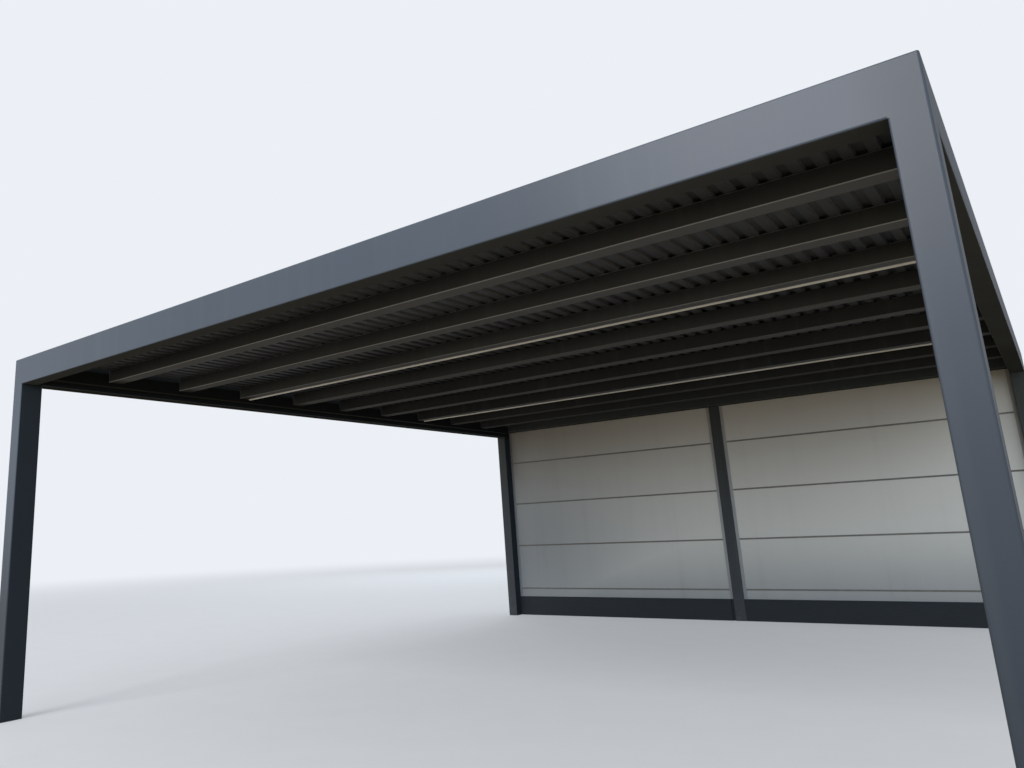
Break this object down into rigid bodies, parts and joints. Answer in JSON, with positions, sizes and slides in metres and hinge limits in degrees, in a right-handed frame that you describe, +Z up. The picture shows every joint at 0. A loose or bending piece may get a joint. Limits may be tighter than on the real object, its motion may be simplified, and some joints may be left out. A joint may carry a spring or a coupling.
{
  "type": "carport",
  "caption": "Flat-roofed double carport of dark box sections, with roof bars, folded roof sheets, light strips and a pale boarded rear wall.",
  "frame": {"origin": "on the ground, in the middle of the plan", "axes": "+X to the right seen from the open front, +Y towards the boarded rear wall, +Z up"},
  "size_m": [6, 6.88, 2.57],
  "materials": {
    "frame": "satin powder coat",
    "roof_bar": "satin powder coat",
    "roof_sheet": "matt coated",
    "light_strip": "pale diffuser",
    "wall_board": "fine matt",
    "wall_edge": "fine matt",
    "plinth": "fine matt"
  },
  "bodies": {
    "root": {"front_beam": "frame", "front_left_post": "frame", "front_right_post": "frame", "left_beam": "frame", "left_board_1": "wall_board", "left_board_2": "wall_board", "left_board_3": "wall_board", "left_board_4": "wall_board", "left_board_5": "wall_board", "left_inner_edge": "wall_edge", "left_outer_edge": "wall_edge", "left_plinth": "plinth", "left_rail": "frame", "light_strip_front": "light_strip", "light_strip_rear": "light_strip", "purlin_1": "roof_bar", "purlin_2": "roof_bar", "purlin_3": "roof_bar", "purlin_4": "roof_bar", "purlin_5": "roof_bar", "purlin_6": "roof_bar", "purlin_7": "roof_bar", "purlin_8": "roof_bar", "purlin_9": "roof_bar", "rear_beam": "frame", "rear_left_post": "frame", "rear_right_post": "frame", "right_beam": "frame", "right_board_1": "wall_board", "right_board_2": "wall_board", "right_board_3": "wall_board", "right_board_4": "wall_board", "right_board_5": "wall_board", "right_inner_edge": "wall_edge", "right_outer_edge": "wall_edge", "right_plinth": "plinth", "roof_sheet_1": "roof_sheet", "roof_sheet_2": "roof_sheet", "roof_sheet_3": "roof_sheet", "roof_sheet_4": "roof_sheet", "roof_sheet_5": "roof_sheet", "roof_sheet_6": "roof_sheet", "wall_post": "frame"}
  },
  "joints": []
}
